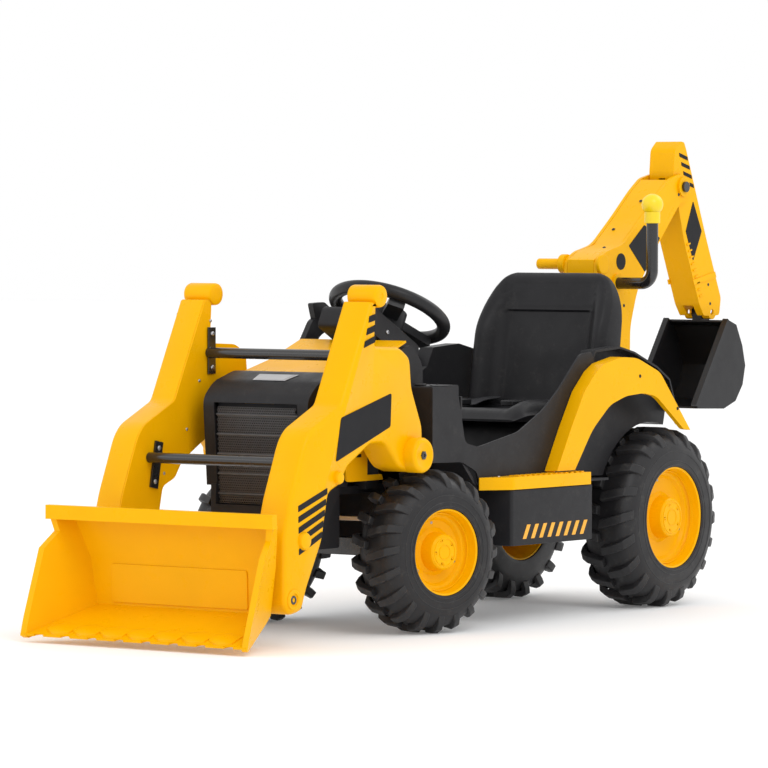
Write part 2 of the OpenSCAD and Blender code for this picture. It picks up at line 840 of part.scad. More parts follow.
module dig_knob() {
    color("#f7d900")
        translate([handle_pivot[0], 125, 0])
            difference() {
                union() {
                    translate([0, 0, 806]) sphere(r = 22);
                    translate([0, 0, 768]) cylinder(h = 26, r = 16);
                }
                translate([0, 0, 760]) cylinder(h = 12.4, r = 12.1);
            }
}

module dig_link() {
    start = handle_pivot + crank;
    end = stick_pivot + crank;
    along = unit(end - start);
    side_step = left_of(along) * 6;
    color(steel)
        difference() {
            union() {
                slab([start + side_step, start - side_step, end - side_step, end + side_step], -6, 6);
                rod_y(start, 8, -6, 6);
                rod_y(end, 8, -6, 6);
            }
            rod_y(start, 4 + running, -10, 10);
            rod_y(end, 4 + 0.4, -10, 10);
        }
}

module rear_bucket() {
    path = [[-466, 566], [-496, 556], [-520, 512], [rear_tip_x, 470], [-522, 430], [-494, 396], [-448, 381],
        [-344, 384]];
    color("#242326") {
        difference() {
            union() {
                slab(band(path, 4), -dig_half + 3, dig_half - 3);
                for (side = [-1, 1])
                    on_side(side) slab(path, dig_half - 4, dig_half);
                for (side = [-1, 1])
                    on_side(side) slab(band([[-468, 564], [-345, 387]], 9), dig_half - 12, dig_half + 1);
                slab([[-498, 552], [-466, 566], [-462, 588], [-494, 590]], -11.5, 11.5);
                rod_y(curl_pivot, 14, -11.5, 11.5);
            }
            rod_y(curl_pivot, pin_r + running, -40, 40);
        }
    }
}

// ---- Nodes ----

placed() chassis_pan();
placed() cab_tub();
placed() dash_shell();
placed() steering_cowl();
placed() hood_cover();
placed() grille_shell();
placed() grille_mesh();
placed() side_panel(1);  // side_panel_left
placed() side_panel(-1);  // side_panel_right
placed() fender(1);  // fender_left
placed() fender(-1);  // fender_right
placed() fender_liner(1);  // fender_liner_left
placed() fender_liner(-1);  // fender_liner_right
placed() step_box(1);  // step_box_left
placed() step_box(-1);  // step_box_right
placed() step_tread(1);  // step_tread_left
placed() step_tread(-1);  // step_tread_right
placed() seat();
placed() seat_belt();
placed() battery();
placed() gear_motor(1);  // gear_motor_left
placed() gear_motor(-1);  // gear_motor_right
placed() rear_axle();
placed() front_axle_beam();
placed() charge_socket();
placed() swing_socket();
placed() knuckle(1);  // knuckle_left
placed() knuckle(-1);  // knuckle_right
placed() tie_rod();
placed() steering_column();
placed() steering_wheel();
placed() horn_button();
placed() front_tyre(1);  // front_tyre_left
placed() front_rim(1);  // front_rim_left
placed() front_tyre(-1);  // front_tyre_right
placed() front_rim(-1);  // front_rim_right
placed() rear_tyre(1);  // rear_tyre_left
placed() rear_rim(1);  // rear_rim_left
placed() rear_tyre(-1);  // rear_tyre_right
placed() rear_rim(-1);  // rear_rim_right
placed() accelerator_pedal();
placed() arm(1);  // loader_arm_left
placed() arm(-1);  // loader_arm_right
placed() arm_cover(1);  // arm_cover_left
placed() arm_cover(-1);  // arm_cover_right
placed() crossbar([995, 522], [988, 482], [988, 570]);  // upper_crossbar
placed() crossbar([1172, 331], [1162, 274], [1146, 360]);  // lower_crossbar
placed() pivot_shaft();
placed() loader_lever();
placed() loader_bucket();
placed() bucket_pins();
placed() boom();
placed() boom_cover();
placed() swing_handle();
placed() stick_bolt();
placed() stick();
placed() dig_handle();
placed() dig_knob();
placed() dig_link();
placed() rear_bucket();
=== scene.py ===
import json
import math
import bmesh
import bpy
from mathutils import Matrix, Vector


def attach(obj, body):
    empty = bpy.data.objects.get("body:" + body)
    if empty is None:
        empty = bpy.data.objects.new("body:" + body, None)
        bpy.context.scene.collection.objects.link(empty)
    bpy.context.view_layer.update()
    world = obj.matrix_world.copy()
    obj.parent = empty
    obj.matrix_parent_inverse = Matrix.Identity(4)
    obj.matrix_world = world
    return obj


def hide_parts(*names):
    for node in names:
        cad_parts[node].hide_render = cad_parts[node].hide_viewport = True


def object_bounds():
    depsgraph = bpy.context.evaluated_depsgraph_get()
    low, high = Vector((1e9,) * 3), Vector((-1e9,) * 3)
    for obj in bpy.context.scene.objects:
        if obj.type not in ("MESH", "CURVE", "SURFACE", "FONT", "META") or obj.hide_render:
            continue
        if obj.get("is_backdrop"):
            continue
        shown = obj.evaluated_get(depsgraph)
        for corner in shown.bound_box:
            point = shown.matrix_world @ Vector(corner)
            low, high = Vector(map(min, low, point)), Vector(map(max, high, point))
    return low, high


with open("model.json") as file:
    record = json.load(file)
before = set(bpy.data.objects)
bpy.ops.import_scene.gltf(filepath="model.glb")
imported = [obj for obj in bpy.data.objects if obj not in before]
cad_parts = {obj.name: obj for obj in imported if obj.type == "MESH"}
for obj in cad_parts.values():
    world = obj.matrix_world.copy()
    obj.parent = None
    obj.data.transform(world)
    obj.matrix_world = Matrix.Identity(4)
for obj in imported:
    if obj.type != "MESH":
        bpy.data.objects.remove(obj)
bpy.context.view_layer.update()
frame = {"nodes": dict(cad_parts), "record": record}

NODES = frame["nodes"]
REAR_AXLE = -0.446  # the rear axle's X in the row frame, in metres
SIDES = ((1, "left"), (-1, "right"))


def at(x, y, z):
    """Millimetres counted from the rear axle, as metres in the row frame."""
    return Vector((x / 1000 + REAR_AXLE, y / 1000, z / 1000))


# ---- Materials ----

def node(tree, kind, **inputs):
    """A new shader node, with its inputs set by name."""
    n = tree.nodes.new(kind)
    for key, value in inputs.items():
        n.inputs[key.replace("_", " ")].default_value = value
    return n


def noise(tree, place, scale, detail, rough):
    """A noise texture over the piece's own coordinates."""
    n = node(tree, "ShaderNodeTexNoise", Scale=scale, Detail=detail, Roughness=rough)
    tree.links.new(place.outputs["Object"], n.inputs["Vector"])
    return n


def lay_over(tree, colour, top, factor):
    """A plain colour mixed over another one by a factor."""
    mix = tree.nodes.new("ShaderNodeMix")
    mix.data_type = "RGBA"
    mix.inputs["B"].default_value = tuple(top) + (1,)
    tree.links.new(factor, mix.inputs["Factor"])
    tree.links.new(colour, mix.inputs["A"])
    return mix.outputs["Result"]


def make_material(name, base, rough, spread=0.06, grain=900.0, grain_depth=0.05, wear=0.0,
                  wear_colour=(1, 1, 1), metal=0.0, coat=0.0, dust=0.0, specular=0.5,
                  rough_spread=0.08, ripple=0.0):
    """A moulded or painted surface: colour clouds, paler worn edges, dust, grain and ripple."""
    m = bpy.data.materials.new(name)
    m.use_nodes = True
    t = m.node_tree
    bsdf = t.nodes["Principled BSDF"]
    place = t.nodes.new("ShaderNodeTexCoord")
    clouds = noise(t, place, 9.0, 5.0, 0.6)
    ramp = t.nodes.new("ShaderNodeValToRGB")
    low, high = ramp.color_ramp.elements
    low.position, high.position = 0.3, 0.72
    low.color = tuple(c * (1 - spread) for c in base) + (1,)
    high.color = tuple(min(1, c * (1 + spread)) for c in base) + (1,)
    t.links.new(clouds.outputs["Fac"], ramp.inputs["Fac"])
    colour = ramp.outputs["Color"]
    if wear:
        geometry = t.nodes.new("ShaderNodeNewGeometry")
        scuffs = noise(t, place, 70.0, 6.0, 0.75)
        edge = node(t, "ShaderNodeMapRange", From_Min=0.52, From_Max=0.62, To_Min=0.0, To_Max=1.0)
        t.links.new(geometry.outputs["Pointiness"], edge.inputs["Value"])
        broken = t.nodes.new("ShaderNodeMath")
        broken.operation = "MULTIPLY"
        t.links.new(edge.outputs["Result"], broken.inputs[0])
        t.links.new(scuffs.outputs["Fac"], broken.inputs[1])
        amount = t.nodes.new("ShaderNodeMath")
        amount.operation = "MULTIPLY"
        amount.inputs[1].default_value = wear
        t.links.new(broken.outputs["Value"], amount.inputs[0])
        colour = lay_over(t, colour, wear_colour, amount.outputs["Value"])
    if dust:
        motes = noise(t, place, 38.0, 8.0, 0.8)
        thin = node(t, "ShaderNodeMapRange", From_Min=0.55, From_Max=0.8, To_Min=0.0, To_Max=dust)
        t.links.new(motes.outputs["Fac"], thin.inputs["Value"])
        colour = lay_over(t, colour, (0.42, 0.39, 0.34), thin.outputs["Result"])
    t.links.new(colour, bsdf.inputs["Base Color"])
    gloss = noise(t, place, 26.0, 6.0, 0.65)
    span = node(t, "ShaderNodeMapRange", From_Min=0.3, From_Max=0.7,
                To_Min=max(0.02, rough - rough_spread), To_Max=rough + rough_spread)
    t.links.new(gloss.outputs["Fac"], span.inputs["Value"])
    t.links.new(span.outputs["Result"], bsdf.inputs["Roughness"])
    fine = noise(t, place, grain, 3.0, 0.6)
    bump = node(t, "ShaderNodeBump", Strength=grain_depth, Distance=0.0006)
    t.links.new(fine.outputs["Fac"], bump.inputs["Height"])
    normal = bump.outputs["Normal"]
    if ripple:
        slow = noise(t, place, 14.0, 2.0, 0.4)
        wave = node(t, "ShaderNodeBump", Strength=ripple, Distance=0.002)
        t.links.new(slow.outputs["Fac"], wave.inputs["Height"])
        t.links.new(normal, wave.inputs["Normal"])
        normal = wave.outputs["Normal"]
    t.links.new(normal, bsdf.inputs["Normal"])
    bsdf.inputs["Metallic"].default_value = metal
    bsdf.inputs["Coat Weight"].default_value = coat
    bsdf.inputs["Coat Roughness"].default_value = 0.12
    bsdf.inputs["Specular IOR Level"].default_value = specular
    m.diffuse_color = tuple(base) + (1,)
    return m


def make_webbing(name, base):
    """Woven strap: two crossed bands of threads give the bump, and their height gives the colour:
    painted shade in the gaps between threads, painted highlight on their crests.
    """
    m = bpy.data.materials.new(name)
    m.use_nodes = True
    t = m.node_tree
    bsdf = t.nodes["Principled BSDF"]
    place = t.nodes.new("ShaderNodeTexCoord")
    height = t.nodes.new("ShaderNodeMath")
    height.operation = "MAXIMUM"
    for i, way in enumerate(("X", "Y")):
        threads = node(t, "ShaderNodeTexWave", Scale=190.0, Distortion=0.6, Detail=2.0)
        threads.bands_direction = way
        t.links.new(place.outputs["Object"], threads.inputs["Vector"])
        t.links.new(threads.outputs["Fac"], height.inputs[i])
    # The threads' height sets the colour: darker in the gaps as painted shade, lighter on the
    # crests as painted highlight.
    ramp = t.nodes.new("ShaderNodeValToRGB")
    ramp.color_ramp.elements[0].color = tuple(c * 0.45 for c in base) + (1,)
    ramp.color_ramp.elements[1].color = tuple(c * 1.5 for c in base) + (1,)
    t.links.new(height.outputs["Value"], ramp.inputs["Fac"])
    t.links.new(ramp.outputs["Color"], bsdf.inputs["Base Color"])
    bump = node(t, "ShaderNodeBump", Strength=0.6, Distance=0.0006)
    t.links.new(height.outputs["Value"], bump.inputs["Height"])
    t.links.new(bump.outputs["Normal"], bsdf.inputs["Normal"])
    bsdf.inputs["Roughness"].default_value = 0.85
    return m


YELLOW = (0.90, 0.45, 0.0)
yellow = make_material("glossy_yellow", YELLOW, 0.30, spread=0.035, grain=1500, grain_depth=0.018,
                       wear=0.08, wear_colour=(1.0, 0.58, 0.04), ripple=0.04,
                       rough_spread=0.05, specular=0.10)
charcoal = make_material("satin_charcoal", (0.013, 0.0127, 0.0145), 0.44, spread=0.10, grain=1300,
                         specular=0.22, grain_depth=0.14, wear=0.22,
                         wear_colour=(0.12, 0.12, 0.125), dust=0.05, ripple=0.04)
tyre_mat = make_material("tyre_plastic", (0.014, 0.0135, 0.015), 0.46, spread=0.14, grain=700,
                         specular=0.35, grain_depth=0.16, wear=0.4,
                         wear_colour=(0.12, 0.12, 0.12), dust=0.12)
tube_black = make_material("black_tube", (0.012, 0.012, 0.013), 0.24, spread=0.1, grain=1600,
                           grain_depth=0.02, coat=0.4, wear=0.2, wear_colour=(0.1, 0.1, 0.1))
steel = make_material("zinc_steel", (0.52, 0.52, 0.54), 0.32, spread=0.08, grain=500,
                      grain_depth=0.05, metal=1.0, wear=0.2, wear_colour=(0.8, 0.8, 0.8))
lemon = make_material("lemon_plastic", (0.93, 0.66, 0.004), 0.33, spread=0.05, grain=1200,
                      grain_depth=0.03, coat=0.15, wear=0.1, wear_colour=(1, 0.8, 0.2))
red = make_material("red_plastic", (0.50, 0.045, 0.025), 0.45, spread=0.08, grain=1200,
                    grain_depth=0.08, wear=0.25, wear_colour=(0.75, 0.2, 0.15), dust=0.1)
casing = make_material("battery_plastic", (0.03, 0.03, 0.035), 0.6, spread=0.12, grain=900,
                       grain_depth=0.12, dust=0.15)
grip_black = make_material("wheel_black", (0.013, 0.013, 0.0145), 0.38, spread=0.12, grain=1100,
                           specular=0.3, grain_depth=0.10, wear=0.15,
                           wear_colour=(0.08, 0.08, 0.085))
vinyl = make_material("black_vinyl", (0.014, 0.014, 0.016), 0.42, spread=0.1, grain=1700,
                      grain_depth=0.01, specular=0.12)
orange = make_material("orange_vinyl", (0.93, 0.43, 0.02), 0.35, spread=0.05, grain=1700,
                       grain_depth=0.02, wear=0.15, wear_colour=(1, 0.6, 0.2))
silver = make_material("grey_badge", (0.46, 0.46, 0.47), 0.36, spread=0.05, grain=1500,
                       grain_depth=0.02)
# Charcoal lightened to grey for the grille's honeycomb sheet and slats: painted highlight, standing
# in for the sheen on them.
grille_painted_sheen = make_material("grille_charcoal_painted_sheen", (0.055, 0.054, 0.056), 0.36, spread=0.12, grain=900,
                          grain_depth=0.05, specular=0.5, wear=0.3, wear_colour=(0.2, 0.2, 0.2))
webbing = make_webbing("woven_strap", (0.022, 0.022, 0.025))

BY_SLOT = {"yellow_plastic": yellow, "black_plastic": charcoal, "tyre_plastic": tyre_mat,
           "black_tube": tube_black, "bright_steel": steel, "lemon_plastic": lemon,
           "red_plastic": red, "webbing": webbing, "battery_case": casing}
SPECIAL = {"stick_bolt": tube_black, "steering_wheel": grip_black, "horn_button": grip_black,
           "rear_bucket": grip_black, "loader_lever": grip_black}

# ---- The CAD pieces: welded, flat faces joined, edges rounded, materials put on ----

BEVEL = {"yellow_plastic": 2.2, "black_plastic": 2.0, "tyre_plastic": 1.6, "bright_steel": 0.6,
         "black_tube": 1.0, "battery_case": 2.0, "red_plastic": 1.5, "webbing": 0.4}
SPECIAL_BEVEL = {"grille_mesh": 0.5, "cab_tub": 3.0, "seat": 6.0, "boom": 3.0, "stick": 3.0,
                 "boom_cover": 1.2, "arm_cover_left": 1.0, "arm_cover_right": 1.0,
                 "loader_arm_left": 3.0, "loader_arm_right": 3.0, "hood_cover": 1.9,
                 "fender_left": 3.0, "fender_right": 3.0, "side_panel_left": 1.5,
                 "side_panel_right": 1.5, "steering_cowl": 1.9, "dash_shell": 1.9,
                 "step_tread_left": 1.2, "step_tread_right": 1.2, "fender_liner_left": 1.8,
                 "fender_liner_right": 1.8, "rear_bucket": 1.8, "loader_bucket": 1.9,
                 "front_rim_left": 1.0, "front_rim_right": 1.0, "rear_rim_left": 1.0,
                 "rear_rim_right": 1.0}


def round_edges(obj, width):
    """A bevel of the given width in millimetres on the sharp edges."""
    bevel = obj.modifiers.new("bevel", "BEVEL")
    bevel.width = width / 1000
    bevel.segments = 2
    bevel.limit_method = "ANGLE"
    bevel.angle_limit = math.radians(28)
    bevel.harden_normals = True
    return bevel


def soften(obj, width):
    """Weld the imported mesh, join coplanar faces, then round the edges."""
    data = obj.data
    for name in ("custom_normal", "sharp_edge", "sharp_face"):
        if name in data.attributes:
            data.attributes.remove(data.attributes[name])
    data.polygons.foreach_set("use_smooth", [True] * len(data.polygons))
    weld = obj.modifiers.new("weld", "WELD")
    weld.merge_threshold = 0.00004
    flat = obj.modifiers.new("flat", "DECIMATE")
    flat.decimate_type = "DISSOLVE"
    flat.angle_limit = math.radians(0.6)
    bevel = round_edges(obj, width)
    bevel.miter_outer = "MITER_ARC"
    bevel.use_clamp_overlap = True


slots = {s["node"]: s["material_slot"] for s in frame["record"]["subparts"]}
for name, obj in NODES.items():
    mat = SPECIAL.get(name, BY_SLOT[slots[name]])
    obj.data.materials.clear()
    obj.data.materials.append(mat)
    soften(obj, SPECIAL_BEVEL.get(name, BEVEL.get(slots[name], 1.5)))

# ---- Building pieces ----

def finish_piece(name, bm, mat, body, bevel=0.0):
    """A piece that rides on a body, with bevelled edges, or else sharp ones above 38 degrees."""
    bmesh.ops.recalc_face_normals(bm, faces=bm.faces)
    data = bpy.data.meshes.new(name)
    bm.to_mesh(data)
    bm.free()
    data.polygons.foreach_set("use_smooth", [True] * len(data.polygons))
    obj = bpy.data.objects.new(name, data)
    bpy.context.scene.collection.objects.link(obj)
    data.materials.append(mat)
    if bevel:
        round_edges(obj, bevel)
    else:
        data.set_sharp_from_angle(angle=math.radians(38))
    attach(obj, body)
    return obj


def prism(bm, points, push):
    """A closed solid from a flat outline pushed along a vector."""
    low = [bm.verts.new(p) for p in points]
    high = [bm.verts.new(p + push) for p in points]
    bm.faces.new(low)
    bm.faces.new(list(reversed(high)))
    for i in range(len(points)):
        j = (i + 1) % len(points)
        bm.faces.new((low[j], low[i], high[i], high[j]))


def bridge(bm, rings, closed=False):
    """Faces from each ring of points to the next, and from the last to the first if closed."""
    for a, b in zip(rings, rings[1:] + (rings[:1] if closed else [])):
        for k in range(len(a)):
            j = (k + 1) % len(a)
            bm.faces.new((a[k], a[j], b[j], b[k]))


def close_rings(bm, rings):
    """A solid from rings of points, with one face on each end."""
    bridge(bm, rings)
    bm.faces.new(rings[0])
    bm.faces.new(rings[-1])


def eased(corners, ease, steps):
    """A flat outline whose corner i turns into a curve that starts ease[i] away from it."""
    out = []
    n = len(corners)
    for i in range(n):
        p, a, b = (Vector(corners[k % n]) for k in (i, i - 1, i + 1))
        start, end = p + (a - p).normalized() * ease[i], p + (b - p).normalized() * ease[i]
        for k in range(steps + 1):
            s = k / steps
            out.append((1 - s) ** 2 * start + 2 * s * (1 - s) * p + s * s * end)
    return out


def rounded(corners, radius):
    """The same with one radius, held under 0.45 of the shorter side at each corner."""
    n = len(corners)
    sides = [(Vector(corners[(i + 1) % n]) - Vector(corners[i])).length for i in range(n)]
    return eased(corners, [min(radius, sides[i - 1] * 0.45, sides[i] * 0.45) for i in range(n)], 4)


def side_plates(name, outlines, y, thick, mat, body, radius=2.0, bevel=0.25, sign=1):
    """Thin raised plates on a side face, at |Y| = y on the side given by sign."""
    bm = bmesh.new()
    for outline in outlines:
        points = [at(p[0], sign * y, p[1]) for p in rounded(outline, radius)]
        prism(bm, points, Vector((0, sign * thick / 1000, 0)))
    return finish_piece(name, bm, mat, body, bevel)


def lathe(bm, centre, axis, profile, segments):
    """Profile (radius, height) in millimetres spun about an axis through a point."""
    axis = Vector(axis).normalized()
    turn = axis.to_track_quat("Z", "Y").to_matrix()
    rings = []
    for r, h in profile:
        if r < 1e-6:
            rings.append([bm.verts.new(centre + turn @ Vector((0, 0, h / 1000)))])
            continue
        ring = []
        for k in range(segments):
            a = 2 * math.pi * k / segments
            ring.append(bm.verts.new(centre + turn @ Vector(
                (r / 1000 * math.cos(a), r / 1000 * math.sin(a), h / 1000))))
        rings.append(ring)
    for low, high in zip(rings, rings[1:]):
        for k in range(segments):
            j = (k + 1) % segments
            if len(low) == 1 and len(high) == 1:
                continue
            if len(low) == 1:
                bm.faces.new((low[0], high[k], high[j]))
            elif len(high) == 1:
                bm.faces.new((low[k], low[j], high[0]))
            else:
                bm.faces.new((low[k], low[j], high[j], high[k]))
    for ring in (rings[0], rings[-1]):
        if len(ring) > 1:
            bm.faces.new(ring)


def screws(name, places, axis, r, mat, body, head=2.2):
    """Domed screw heads with a round driver hole in the middle."""
    bm = bmesh.new()
    axis = Vector(axis).normalized()
    for place in places:
        lathe(bm, place, axis, [(r, -1.0), (r, head * 0.35), (r * 0.86, head * 0.75),
                                (r * 0.62, head), (r * 0.46, head), (r * 0.40, head * 0.3),
                                (0, head * 0.15)], 28)
    finish_piece(name, bm, mat, body)


def banded(points, half, push, bm):
    """A strip of the given half-width along a path of points, pushed to a thickness."""
    normal = push.normalized()
    left, right = [], []
    for i, p in enumerate(points):
        a = points[max(i - 1, 0)]
        b = points[min(i + 1, len(points) - 1)]
        across = (b - a).cross(normal).normalized() * half / 1000
        left.append(p + across)
        right.append(p - across)
    prism(bm, left + right[::-1], push)


# ---- Decals and stripes ----

ARM_SIDE, BOOM_SIDE, STICK_SIDE = 224.2, 39.3, 29.3  # |Y| just inside each wall, in mm
DECAL = 1.5  # thickness, in mm, most of which is inside the wall

for side, tag in SIDES:
    panel = [(1097, 412), (941, 453), (944, 391), (1113, 332)]
    side_plates("arm_panel_" + tag, [panel], ARM_SIDE, DECAL, vinyl, "loader_arms",
                5, sign=side)
    lower = []
    for i in range(5):
        z = 286 - i * 19.5
        x = 1226 - i * 0.6
        back_x = 1139 + i * 3.9
        lower.append([(back_x, z), (x, z - 29), (x, z - 40), (back_x, z - 11)])
    side_plates("arm_stripes_low_" + tag, lower, ARM_SIDE, DECAL, vinyl, "loader_arms",
                1, sign=side)
    upper = []
    for i in range(3):
        z = 600 - i * 20
        upper.append([(992, z), (1010 + i * 7, z - 4 - i * 3), (1013 + i * 7, z - 16 - i * 3),
                      (993, z - 12)])
    side_plates("arm_stripes_high_" + tag, upper, ARM_SIDE, DECAL, vinyl, "loader_arms",
                1, sign=side)
    stripes = []
    for i in range(8):
        x = 556 - i * 28
        stripes.append([(x - 15, 192), (x - 27, 192), (x - 12, 165), (x, 165)])
    side_plates("step_stripes_" + tag, stripes, 256.0, 0.5, orange, "chassis",
                1, sign=side)
    diamond = [(-199, 765), (-141, 722), (-202, 668), (-258, 738)]
    side_plates("boom_diamond_" + tag, [diamond], BOOM_SIDE, DECAL, vinyl, "backhoe_boom",
                3, sign=side)
    circle = [(-112 + 17 * math.cos(k * math.pi / 12), 690 + 17 * math.sin(k * math.pi / 12))
              for k in range(24)]
    side_plates("boom_disc_" + tag, [circle], BOOM_SIDE, DECAL, vinyl, "backhoe_boom",
                0.5, sign=side)
    posts = []
    for i in range(2):
        z = 470 - i * 26
        posts.append([(-140, z - 40), (-140, z - 26), (-56, z + 14), (-56, z)])
    side_plates("post_stripes_" + tag, posts, BOOM_SIDE, DECAL, vinyl, "backhoe_boom",
                1, sign=side)
    diamond = [(-401, 815), (-373, 752), (-402, 690), (-435, 752)]
    side_plates("stick_diamond_" + tag, [diamond], STICK_SIDE, DECAL, vinyl, "backhoe_stick",
                3, sign=side)
    marks = []
    for i in range(4):
        z = 842 + i * 19
        marks.append([(-404 + i * 8, z), (-372 + i * 8, z + 8), (-370 + i * 8, z + 16),
                      (-402 + i * 8, z + 8)])
    side_plates("stick_stripes_" + tag, marks, STICK_SIDE, DECAL, vinyl, "backhoe_stick",
                1, sign=side)
    vents = [[(912, 331 + i * 12), (960, 331 + i * 12), (961, 337 + i * 12), (912, 337 + i * 12)]
             for i in range(3)]
    side_plates("side_vents_" + tag, vents, 135.0, 0.5, vinyl, "chassis",
                1, sign=side)

# ---- Tyres: a rounded carcass with slanting lugs that wrap over the shoulders ----

STEER = math.radians(11)  # the front wheels point this far to the right
# in mm: the tyre's radius, the rim's radius, the tread's outer and inner edges, the hub's radius
WHEELS = {"rear": (180, 101, -18, -113, 42), "front": (153.5, 81, -20, -100, 36)}
REAR_FACE = 243  # |Y| where a rear wheel's own Y is 0, at its outer side
KINGPIN_X, KINGPIN_Y = 791, 140  # a front wheel steers about this upright line
FRONT_FACE = 124  # from that line out to where a front wheel's own Y is 0
LUGS = 20  # on each side of a tyre


def wheel_frame(kind, side):
    """Matrix from the wheel's own axes (Y outwards along the axle) to the row frame."""
    mirror = Matrix.Diagonal((1, side, 1, 1))
    radius = WHEELS[kind][0]
    if kind == "rear":
        return Matrix.Translation(at(0, side * REAR_FACE, radius)) @ mirror
    return (Matrix.Translation(at(KINGPIN_X, side * KINGPIN_Y, radius))
            @ Matrix.Rotation(-STEER, 4, "Z") @ mirror
            @ Matrix.Translation((0, FRONT_FACE / 1000, 0)))


def side_name(side):
    return "left" if side > 0 else "right"


def wheel_tag(kind, side):
    return kind + "_" + side_name(side)


def ring_point(r, y, angle):
    """A point of the wheel: radius and Y in millimetres, angle from straight down."""
    return Vector((r * math.sin(angle), y, -r * math.cos(angle))) / 1000


def beads(bm, rings, foot, count):
    """Raised rings round a wheel, each by its radius, Y, half-width and height."""
    for r, y, w, h in rings:
        section = ((-w, foot), (-w * 0.6, h), (w * 0.6, h), (w, foot))
        bridge(bm, [[bm.verts.new(ring_point(r + dr, y + dy, 2 * math.pi * k / count))
                     for dr, dy in section] for k in range(count)], closed=True)


def tyre_piece(kind, side):
    """A ring-shaped carcass, its slanting lugs and its moulded bead lines, for one wheel."""
    radius, rim_r, tread_out, tread_in, _ = WHEELS[kind]
    carcass = radius - 11
    inner = tread_in - 6
    middle = (tread_out + tread_in) / 2
    half = [(rim_r + 1, 1.0), (rim_r + 4, 2.2), (rim_r + 10, 2.0), (carcass - 34, 1.2),
            (carcass - 26, -0.5), (carcass - 15, tread_out * 0.35), (carcass - 7, tread_out + 5),
            (carcass - 2, tread_out - 4), (carcass, tread_out - 16)]
    profile = [(rim_r + 0.6, -14), (rim_r + 0.6, -2)] + half
    profile += [(r, inner - y) for r, y in reversed(half)]
    profile += [(rim_r + 0.6, inner + 2), (rim_r + 0.6, inner + 14), (rim_r + 5, inner + 14),
                (rim_r + 7, inner + 6), (carcass - 30, inner + 4), (carcass - 8, inner + 14),
                (carcass - 5, middle), (carcass - 8, -20), (carcass - 30, -3), (rim_r + 7, -4),
                (rim_r + 5, -14)]
    place = wheel_frame(kind, side)
    bm = bmesh.new()
    count = 80
    rings = [[bm.verts.new(ring_point(r, y, 2 * math.pi * k / count)) for k in range(count)]
             for r, y in profile]
    bridge(bm, rings, closed=True)
    bm.transform(place)
    tag = wheel_tag(kind, side)
    body = tag + "_wheel"
    shell = finish_piece("tyre_carcass_" + tag, bm, tyre_mat, body)
    bm = bmesh.new()
    pitch = 2 * math.pi / LUGS
    for out in (1, -1):
        edge = tread_out if out > 0 else tread_in
        wall_y = -1.0 if out > 0 else inner + 1.0
        # radius, Y and height of a lug's sections, from the tread's middle down the side wall
        path = [(carcass, middle + out * 1.5, 11.0),
                (carcass, middle + (edge - middle) * 0.45, 11.0),
                (carcass, edge - out * 9, 10.5), (carcass - 4, edge - out * 1, 10.0),
                (carcass - 12, edge + (wall_y - edge) * 0.45, 7.0),
                (carcass - 24, edge + (wall_y - edge) * 0.85, 3.2)]
        for i in range(LUGS):
            base_angle = (i + (0 if out > 0 else 0.5)) * pitch
            sections = []
            for s, (r, y, h) in enumerate(path):
                f = s / (len(path) - 1)
                centre = base_angle + (f - 0.35) * pitch * 0.42
                wide = pitch * (0.20 + 0.05 * f)
                nr, ny = (1.0, 0.0) if s < 3 else (0.8, 0.6 * out) if s == 3 else (0.45, 0.85 * out)
                foot = [(r - 3 * nr, y - 3 * ny, a) for a in (centre - wide, centre + wide)]
                top = [(min(radius, r + h * nr), y + h * ny, a)
                       for a in (centre + wide * 0.72, centre - wide * 0.72)]
                sections.append([bm.verts.new(ring_point(*p)) for p in foot + top])
            bridge(bm, sections)
            bm.faces.new(sections[0])
            bm.faces.new(sections[-1][::-1])
    for v in bm.verts:
        v.co.y = min(max(v.co.y, (inner - 2) / 1000), 0.0022)
    bm.transform(place)
    finish_piece("tyre_lugs_" + tag, bm, tyre_mat, body, 1.8)
    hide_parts(kind + "_tyre_" + side_name(side))
    # moulded bead lines round the side wall
    bm = bmesh.new()
    beads(bm, ((rim_r + 13, 2.0, 1.1, 0.5), (carcass - 36, 1.3, 0.8, 0.5),
               (rim_r + 5, 2.4, 1.0, 0.5)), -0.9, 96)
    bm.transform(place)
    finish_piece("tyre_beads_" + tag, bm, tyre_mat, body)


def rim_details(kind, side):
    """Raised rings, hub studs and rim screws on the dished rim."""
    _, rim_r, _, _, hub_r = WHEELS[kind]
    place = wheel_frame(kind, side)
    tag = wheel_tag(kind, side)
    body = tag + "_wheel"
    outward = (place.to_3x3() @ Vector((0, 1, 0))).normalized()
    bm = bmesh.new()
    beads(bm, ((rim_r - 9, -19, 1.6, 1.6), (hub_r - 10, -5.2, 1.3, 1.4),
               (hub_r * 0.38, -5.2, 1.2, 1.2)), -0.8, 72)
    bm.transform(place)
    finish_piece("rim_rings_" + tag, bm, yellow, body)
    studs = [place @ ring_point(hub_r * 0.62, -5.2, 2 * math.pi * k / 5 + 0.2) for k in range(5)]
    screws("hub_studs_" + tag, studs, outward, 2.6, yellow, body, 1.6)
    outer = [place @ ring_point(rim_r - 26, -34, 2 * math.pi * k / 3 + 0.9) for k in range(3)]
    screws("rim_screws_" + tag, outer, outward, 3.0, steel, body, 1.8)


for side in (1, -1):
    for kind in WHEELS:
        tyre_piece(kind, side)
    for kind in WHEELS:
        rim_details(kind, side)

# ---- Loader arms: solid-looking mouldings with a wide chamfer along the outer edges ----

ARM = [(878, 304), (913, 314), (958, 362), (1000, 362), (1073, 321), (1095, 290), (1131, 276),
       (1150, 190), (1197, 104), (1211, 66), (1250, 60), (1267, 80), (1269, 200), (1248, 269),
       (1205, 372), (1185, 393), (1096, 434), (1052, 524), (1004, 622), (984, 622), (989, 540),
       (910, 537), (878, 517), (872, 461), (838, 388), (838, 336), (850, 308)]
ARM_EASE = [4, 12, 14, 12, 10, 8, 10, 12, 12, 12, 12, 8, 14, 10, 16, 12, 8, 10, 2, 2, 8, 12, 12,
            12, 12, 8, 8]
